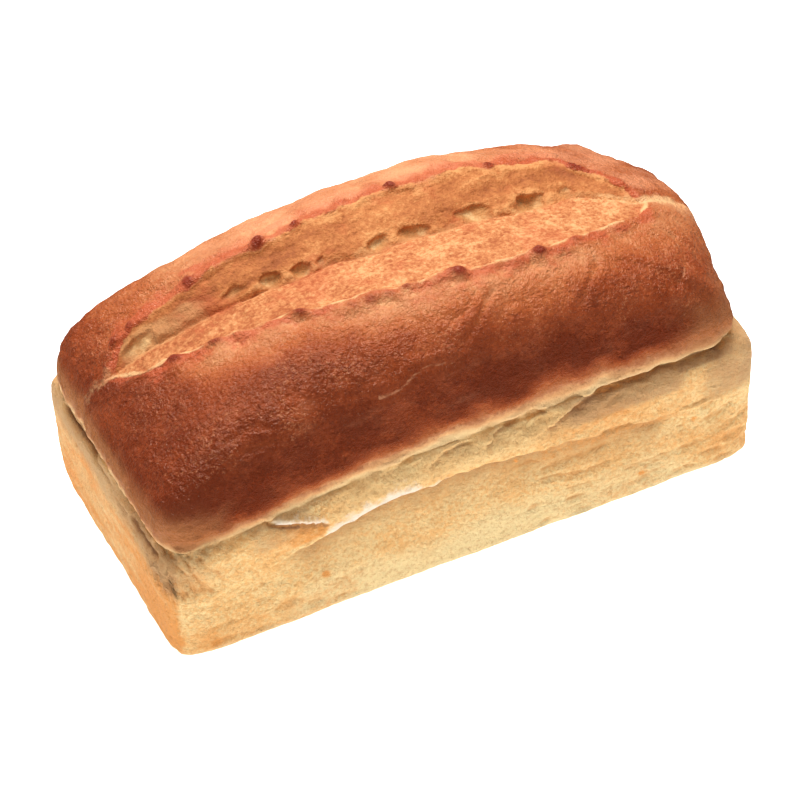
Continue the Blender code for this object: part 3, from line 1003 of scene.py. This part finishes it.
# The band under the crust is golden, and partly painted lighter against the shade of the crown.
band_gold_and_light = facing_front * span(x, -50, 44, 12) * span(over, -9, 1, 4)
# Painted shade: a thin dark line under the fold, and a dark slot under the lip at the right.
shade_under_fold = facing_front * span(x, -60, 24, 10) * hump(over + fold_drop(x) + 1.0 * MM, 0.8 * MM)
right_slot_shade = facing_front * span(x, 88, 104, 12) * span(over, -3.5, -0.5, 1.5)
print("the walls are tanned up to", round(toast.max(), 2))

# %% Map the flour
fold = -fold_drop(x)
strip = span(x, -57, -24, 4) + 0.45 * span(x, -20, -8, 6)
above_fold = over - fold
flour_reach = 4.4 * MM * (1.0 + 0.7 * along_line(x, 7 * MM, 98.0))
flour = strip * climb(above_fold, -0.6, 0.2) * np.exp(-np.maximum(above_fold, 0.0) / flour_reach)
flour_on_hook = climb(above_hook, -0.8, 0.2) * np.exp(-np.maximum(above_hook, 0.0) / (2.6 * MM))
flour = np.maximum(flour, 0.9 * span(x, -76, -60, 4) * flour_on_hook)
flour *= facing_front * on_wall
# Painted shade in the slot under the hook. It joins the pocket shade with the line under the fold
# and the right slot.
hook_slot_shade = span(x, -76, -60, 4) * hump(above_hook + 1.3 * MM, 1.0 * MM) * facing_front
for line in (1.2 * hook_slot_shade, 0.7 * shade_under_fold, 0.6 * right_slot_shade):
    pocket_shade = np.maximum(pocket_shade, line)
print("flour covers", int((flour > 0.4).sum()), "points")

# %% Measure what stands proud
SMOOTHING_ROUNDS = 14
PROUD_RANGE = 0.7 * MM
starts, ends = np.array([edge.vertices[:] for edge in crust_mesh.edges]).T
links = np.bincount(starts, minlength=len(points)) + np.bincount(ends, minlength=len(points))
smoothed = points.copy()
for _ in range(SMOOTHING_ROUNDS):
    total = np.zeros_like(points)
    np.add.at(total, starts, smoothed[ends])
    np.add.at(total, ends, smoothed[starts])
    smoothed = 0.5 * smoothed + 0.5 * total / links[:, None]
# The colours paint shade into what lies low, on the walls and in the crumb.
proud = np.einsum("ij,ij->i", points - smoothed, outward)
proud = np.clip(0.5 + 0.5 * proud / PROUD_RANGE, 0.0, 1.0)
print("half of the surface stands proud by more than", round(float(np.median(proud)), 2))

# %% Keep the numbers on the crust
KEPT = dict(
    bake=bake, score_edge=in_score / MM, torn_wall=torn_wall, toast=toast, grey_crumb_and_shade=grey_crumb_and_shade,
    shade=shade, lit_from_floor=lit_from_floor, flour=flour, char=char, hollow=hollow, pocket_shade=pocket_shade, crack=crack,
    tan=tan, blush_and_sheen=blush_and_sheen, dim=dim, band_gold_and_light=band_gold_and_light, glint=glint, flush=flush, rim=rim,
    pale_crumb=pale_crumb, over=over / MM, proud=proud,
)
for name, values in KEPT.items():
    kept = crust_mesh.attributes.new(name, "FLOAT", "POINT")
    kept.data.foreach_set("value", np.clip(values, -200.0, 200.0).astype(np.float32))
print(len(KEPT), "numbers are kept at each point")

# %% [markdown]
# ## The finish
# Crust is matt with a soft leathery sheen, and crumb is duller. One material covers the loaf. Its
# colours come in three groups: the browned crust, the torn crumb in the score and the pale
# walls. A flat colour and a low roughness would look like painted plastic, so every group has
# its own mottling and its own grain.

# %% Tools for the material
finish = bpy.data.materials.new("baked_crust")
finish.use_nodes = True
tree = finish.node_tree
shader = tree.nodes["Principled BSDF"]


def add(kind, inputs, **settings):
    """A shader node. Each input is a number, a colour or another node's socket."""
    node = tree.nodes.new(kind)
    for name, value in settings.items():
        setattr(node, name, value)
    for name, value in inputs.items():
        if isinstance(value, bpy.types.NodeSocket):
            tree.links.new(value, node.inputs[name])
        else:
            node.inputs[name].default_value = value
    return node


def kept_number(name):
    return add("ShaderNodeAttribute", {}, attribute_name=name).outputs["Fac"]


def sum_up(operation, first, second=0.0, third=0.0):
    inputs = {0: first, 1: second, 2: third}
    return add("ShaderNodeMath", inputs, operation=operation).outputs[0]


def between(value, low, high):
    """Soft step of a number, from 0 at low to 1 at high."""
    inputs = {0: value, 1: low, 2: high}
    return add("ShaderNodeMapRange", inputs, interpolation_type="SMOOTHSTEP").outputs[0]


def mixed(share, first, second):
    """Colour between two colours."""
    inputs = {0: share, 6: first, 7: second}
    return add("ShaderNodeMix", inputs, data_type="RGBA").outputs[2]


def blended(share, first, second):
    """Number between two numbers."""
    return add("ShaderNodeMix", {0: share, 2: first, 3: second}).outputs[0]


def ramp(value, stops):
    """Colour from a list of places and colours."""
    node = add("ShaderNodeValToRGB", {0: value})
    elements = node.color_ramp.elements
    while len(elements) < len(stops):
        elements.new(1.0)
    for element, (place, colour) in zip(elements, stops):
        element.position = place
        element.color = colour
    return node.outputs[0]


def times(first, second):
    return sum_up("MULTIPLY", first, second)


def plus(base, value, factor):
    return sum_up("MULTIPLY_ADD", value, factor, base)


def shifted(value, noise_part, amount):
    """The value plus noise that swings this much to both sides."""
    return sum_up("MULTIPLY_ADD", sum_up("SUBTRACT", noise_part, 0.5), amount, value)


def patchy(name, noise_part, amount, low, high):
    """Soft step of a kept number, with noise to break up its edge."""
    return between(shifted(kept_number(name), noise_part, amount), low, high)


def coated(base, share, strength, coat):
    """The base colour with a coat over it."""
    return mixed(times(share, strength), base, coat)


coordinates = add("ShaderNodeTexCoord", {}).outputs["Object"]


def grain(scale, detail=2.0, roughness=0.5, stretch=(1.0, 1.0, 1.0), distortion=0.0):
    """Noise from 0 to 1 with so many lumps per metre."""
    where = add("ShaderNodeMapping", {"Vector": coordinates, "Scale": stretch}).outputs[0]
    inputs = {"Vector": where, "Scale": scale, "Detail": detail, "Roughness": roughness}
    inputs["Distortion"] = distortion
    return add("ShaderNodeTexNoise", inputs).outputs[0]


def pores(scale, feature="F1"):
    """Distance to the nearest of many scattered dots."""
    inputs = {"Vector": coordinates, "Scale": scale}
    return add("ShaderNodeTexVoronoi", inputs, feature=feature).outputs[0]


print("the material has", len(tree.nodes), "nodes so far")

# %% Mix the colour of the crust
CREAM = (1.00, 0.69, 0.34, 1.0)
CRUST_COLOURS = (
    (0.00, CREAM),
    (0.16, (0.87, 0.450, 0.190, 1.0)),
    (0.34, (0.60, 0.225, 0.088, 1.0)),
    (0.55, (0.485, 0.122, 0.035, 1.0)),
    (0.76, (0.335, 0.062, 0.016, 1.0)),
    (1.00, (0.18, 0.026, 0.006, 1.0)),
)
FLUSH_COLOUR = (0.54, 0.102, 0.038, 1.0)

fading = between(kept_number("bake"), 0.0, 0.4)
proud_part = sum_up("SUBTRACT", kept_number("proud"), 0.5)

browned = shifted(kept_number("bake"), grain(38.0, 4.0, 0.6), 0.36)
browned = shifted(browned, grain(240.0, 4.0, 0.65), times(fading, 0.30))
browned = shifted(browned, grain(700.0, 2.0, 0.7), times(fading, 0.36))
browned = plus(browned, proud_part, times(fading, 0.16))
crust_colour = ramp(browned, CRUST_COLOURS)
CRUST_COATS = (
    # kept number, noise, its swing, low and high end, strength and colour, the lowest coat first
    ("flush", (150.0, 3.0, 0.6), 1.3, 0.40, 0.90, 0.80, FLUSH_COLOUR),
    ("tan", (90.0, 4.0, 0.65), 0.8, 0.0, 1.0, 0.85, (0.50, 0.185, 0.063, 1.0)),
    ("glint", (660.0, 2.0, 0.8, (1.0, 1.0, 1.6)), 6.0, 1.3, 2.2, times(fading, 0.30),
     (0.74, 0.29, 0.13, 1.0)),
    # the blush is partly a painted sheen on the back of the crown
    ("blush_and_sheen", (150.0, 4.0, 0.65, (0.4, 1.0, 1.0)), 1.8, 0.1, 1.2, 0.50, (0.88, 0.37, 0.185, 1.0)),
    ("char", (90.0,), 0.0, 0.15, 0.75, 1.0, (0.26, 0.032, 0.012, 1.0)),
    ("crack", (260.0, 3.0, 0.7), 0.8, 0.65, 1.15, 0.85, (0.72, 0.32, 0.16, 1.0)),
)
for name, noise_kind, swing, low, high, strength, coat in CRUST_COATS:
    share_of_coat = patchy(name, grain(*noise_kind), swing, low, high)
    crust_colour = coated(crust_colour, share_of_coat, strength, coat)
print(len(CRUST_COLOURS), "colours from pale to brown")

# %% Mix the colour of the torn crumb
FLOOR_COLOURS = (
    (0.25, (0.40, 0.105, 0.032, 1.0)),
    (0.42, (0.53, 0.180, 0.060, 1.0)),
    (0.56, (0.62, 0.245, 0.090, 1.0)),
    (0.74, (0.76, 0.380, 0.160, 1.0)),
)
TORN_COLOURS = (
    (0.20, (0.33, 0.088, 0.024, 1.0)),
    (0.42, (0.44, 0.134, 0.036, 1.0)),
    (0.58, (0.53, 0.180, 0.052, 1.0)),
    (0.80, (0.72, 0.310, 0.108, 1.0)),
)
HOLE_CRUMB_LIT = (0.58, 0.265, 0.090, 1.0)
HOLE_PALE_LIT = (0.80, 0.49, 0.215, 1.0)
CRUMB_PALE = (0.66, 0.35, 0.140, 1.0)
RIM_COLOUR = (0.86, 0.50, 0.23, 1.0)

# Painted shade and light: the crumb is darker where it lies low and lighter where it stands proud.
floor_tone = plus(grain(110.0, 5.0, 0.65), proud_part, 0.25)
floor_tone = shifted(floor_tone, grain(600.0, 2.0, 0.75), 1.15)
torn_tone = plus(grain(90.0, 5.0, 0.62, (0.5, 1.0, 1.0)), proud_part, 0.55)
torn_tone = shifted(torn_tone, grain(600.0, 2.0, 0.75), 0.75)
floor_tone = plus(floor_tone, kept_number("dim"), -0.09)
torn_tone = plus(torn_tone, kept_number("dim"), -0.20)
# Painted light: the torn wall is lighter just under the back lip, against the lip's shadow.
lit_under_lip = sum_up("SUBTRACT", 1.0, between(kept_number("score_edge"), 0.5, 5.0))
torn_tone = plus(torn_tone, lit_under_lip, 0.26)
crumb_colour = mixed(
    kept_number("torn_wall"), ramp(floor_tone, FLOOR_COLOURS), ramp(torn_tone, TORN_COLOURS)
)
ruddy = between(grain(42.0, 4.0, 0.65), 0.50, 0.62)
crumb_colour = coated(crumb_colour, ruddy, 0.30, FLUSH_COLOUR)
pale_crumb = patchy("pale_crumb", grain(130.0, 4.0, 0.65), 1.2, 0.4, 0.9)
crumb_colour = coated(crumb_colour, pale_crumb, 0.45, CRUMB_PALE)
# The holes get a lighter crumb colour, partly painted light against the shade inside them.
lit_hole_tone = mixed(between(grain(180.0, 3.0), 0.45, 0.65), HOLE_CRUMB_LIT, HOLE_PALE_LIT)
crumb_colour = mixed(between(kept_number("hollow"), 0.10, 0.9), crumb_colour, lit_hole_tone)
print("torn crumb mixed from", len(FLOOR_COLOURS) + len(TORN_COLOURS), "colours")

# %% Mix the colour of the walls
WALL_PALE = (1.00, 0.71, 0.33, 1.0)
WALL_DEEP = (0.95, 0.53, 0.195, 1.0)
WALL_LIT_FROM_FLOOR = (1.00, 0.78, 0.40, 1.0)
WALL_BAND_GOLD_AND_LIGHT = (1.00, 0.66, 0.29, 1.0)
WALL_SPECK = (0.64, 0.29, 0.090, 1.0)
WALL_TOASTED = (0.88, 0.37, 0.095, 1.0)
WALL_GREY_CRUMB_AND_SHADE = (0.55, 0.295, 0.130, 1.0)
WALL_SHADED = (0.56, 0.30, 0.115, 1.0)
WALL_CAVITY_SHADE = (0.72, 0.33, 0.105, 1.0)
WALL_EDGE_FLOOR_LIT = (1.00, 0.84, 0.52, 1.0)
POCKET_SHADE_COLOUR = (0.36, 0.165, 0.070, 1.0)
FLOUR_COLOUR = (0.97, 0.82, 0.64, 1.0)

wall_tone = shifted(grain(60.0, 4.0, 0.6), grain(560.0, 3.0, 0.8), 1.7)
wall_tone = between(wall_tone, 0.25, 0.70)
wall_colour = mixed(wall_tone, WALL_DEEP, WALL_PALE)
up = add("ShaderNodeSeparateXYZ", {"Vector": coordinates}).outputs["Z"]
# Painted light from the floor on the lower front wall.
lit_lower_part = patchy("lit_from_floor", grain(60.0, 3.0, 0.6), 0.8, 0.1, 0.9)
wall_colour = coated(wall_colour, lit_lower_part, 0.85, WALL_LIT_FROM_FLOOR)
shaded = patchy("shade", grain(240.0, 3.0, 0.7), 0.6, 0.05, 1.05)
wall_colour = mixed(shaded, wall_colour, WALL_SHADED)
toasted = shifted(kept_number("toast"), grain(75.0, 5.0, 0.65, (0.5, 0.5, 1.0)), 1.0)
toasted = shifted(toasted, grain(480.0, 2.0, 0.7), 0.9)
wall_colour = mixed(between(toasted, 0.15, 1.0), wall_colour, WALL_TOASTED)
# The golden band under the crust, partly painted light.
wall_colour = coated(wall_colour, kept_number("band_gold_and_light"), 0.55, WALL_BAND_GOLD_AND_LIGHT)
specks = between(grain(620.0, 3.0, 0.8), 0.50, 0.64)
wall_colour = coated(wall_colour, specks, 0.42, WALL_SPECK)
# Grey crumb, and painted shade under the overhanging lip.
grey_crumb_shaded = patchy("grey_crumb_and_shade", grain(140.0, 4.0, 0.6), 0.7, 0.1, 1.0)
wall_colour = coated(wall_colour, grey_crumb_shaded, 0.8, WALL_GREY_CRUMB_AND_SHADE)
# Painted shade: pockets, slots and the line under the fold turn dark.
shaded_pocket = patchy("pocket_shade", grain(300.0, 3.0), 0.5, 0.15, 0.9)
wall_colour = mixed(shaded_pocket, wall_colour, POCKET_SHADE_COLOUR)
# Painted light: the bottom edge is lighter, as if lit from the glowing floor.
lit_bottom_edge = sum_up("SUBTRACT", 1.0, between(shifted(up, grain(150.0), 3 * MM), 0.5 * MM, 5 * MM))
wall_colour = coated(wall_colour, lit_bottom_edge, 0.7, WALL_EDGE_FLOOR_LIT)
# Painted shade: what lies low turns darker, less so in the band under the crust.
cavity_shade = sum_up("SUBTRACT", 1.0, between(kept_number("proud"), 0.05, 0.42))
cavity_shade = times(cavity_shade, blended(kept_number("band_gold_and_light"), 0.7, 0.35))
wall_colour = mixed(cavity_shade, wall_colour, WALL_CAVITY_SHADE)
floury = shifted(kept_number("flour"), grain(330.0, 3.0, 0.65), 0.9)
wall_colour = mixed(between(floury, 0.22, 0.72), wall_colour, FLOUR_COLOUR)
print("with the walls the material has", len(tree.nodes), "nodes")

# %% Join the three groups
is_crumb = patchy("score_edge", grain(190.0, 5.0, 0.65), 8.0, -0.5, 0.7)
above_seam = patchy("over", grain(120.0, 4.0, 0.6), 3.0, -1.0, 1.5)
colour = mixed(above_seam, wall_colour, crust_colour)
colour = mixed(is_crumb, colour, crumb_colour)
pale_rim = patchy("rim", grain(230.0, 4.0, 0.65), 1.3, 0.25, 0.9)
colour = coated(colour, pale_rim, 0.75, RIM_COLOUR)
tree.links.new(colour, shader.inputs["Base Color"])
print("the material has", len(tree.nodes), "nodes so far")

# %% Set the sheen and the grain
SPECULAR_LEVEL = 0.36
SPECULAR_TINT = (1.0, 0.76, 0.58, 1.0)
SHEEN_WEIGHT = 0.05
SHEEN_ROUGHNESS = 0.35
SHEEN_TINT = (1.0, 0.66, 0.48, 1.0)
CRUST_ROUGHNESS = 0.31
CRUMB_ROUGHNESS = 0.70
WALL_ROUGHNESS = 0.80


def weighted(*parts):
    """Sum of noises that swing around 0, each with its weight in mm."""
    total = 0.0
    for noise_part, weight in parts:
        total = shifted(total, noise_part, weight)
    return total


crust_rough = shifted(CRUST_ROUGHNESS, grain(90.0, 4.0), 0.25)
wall_to_crust = between(kept_number("bake"), 0.05, 0.5)
rough = blended(wall_to_crust, WALL_ROUGHNESS, crust_rough)
tree.links.new(blended(is_crumb, rough, CRUMB_ROUGHNESS), shader.inputs["Roughness"])
shader.inputs["Specular IOR Level"].default_value = SPECULAR_LEVEL
shader.inputs["Specular Tint"].default_value = SPECULAR_TINT
shader.inputs["Sheen Weight"].default_value = SHEEN_WEIGHT
shader.inputs["Sheen Roughness"].default_value = SHEEN_ROUGHNESS
shader.inputs["Sheen Tint"].default_value = SHEEN_TINT

leather = weighted(
    (grain(200.0, 4.0, 0.65), 1.5), (pores(620.0), 0.24), (grain(740.0, 2.0, 0.75), 1.0)
)
sandy = weighted((grain(300.0, 3.0, 0.7), 1.3), (grain(640.0, 3.0, 0.75), 1.1))
fibres = weighted((grain(240.0, 3.0, 0.65, (0.8, 1.0, 1.0)), 0.9), (grain(750.0, 2.0, 0.7), 0.6))
height = blended(is_crumb, blended(wall_to_crust, sandy, leather), fibres)
bump = add("ShaderNodeBump", {"Height": height, "Distance": MM, "Strength": 1.0})
tree.links.new(bump.outputs[0], shader.inputs["Normal"])
crust_mesh.materials.append(finish)
print("roughness runs from", CRUST_ROUGHNESS, "to", WALL_ROUGHNESS)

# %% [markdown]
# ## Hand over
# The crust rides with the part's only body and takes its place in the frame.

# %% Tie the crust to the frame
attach(loaf, "root")
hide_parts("loaf")
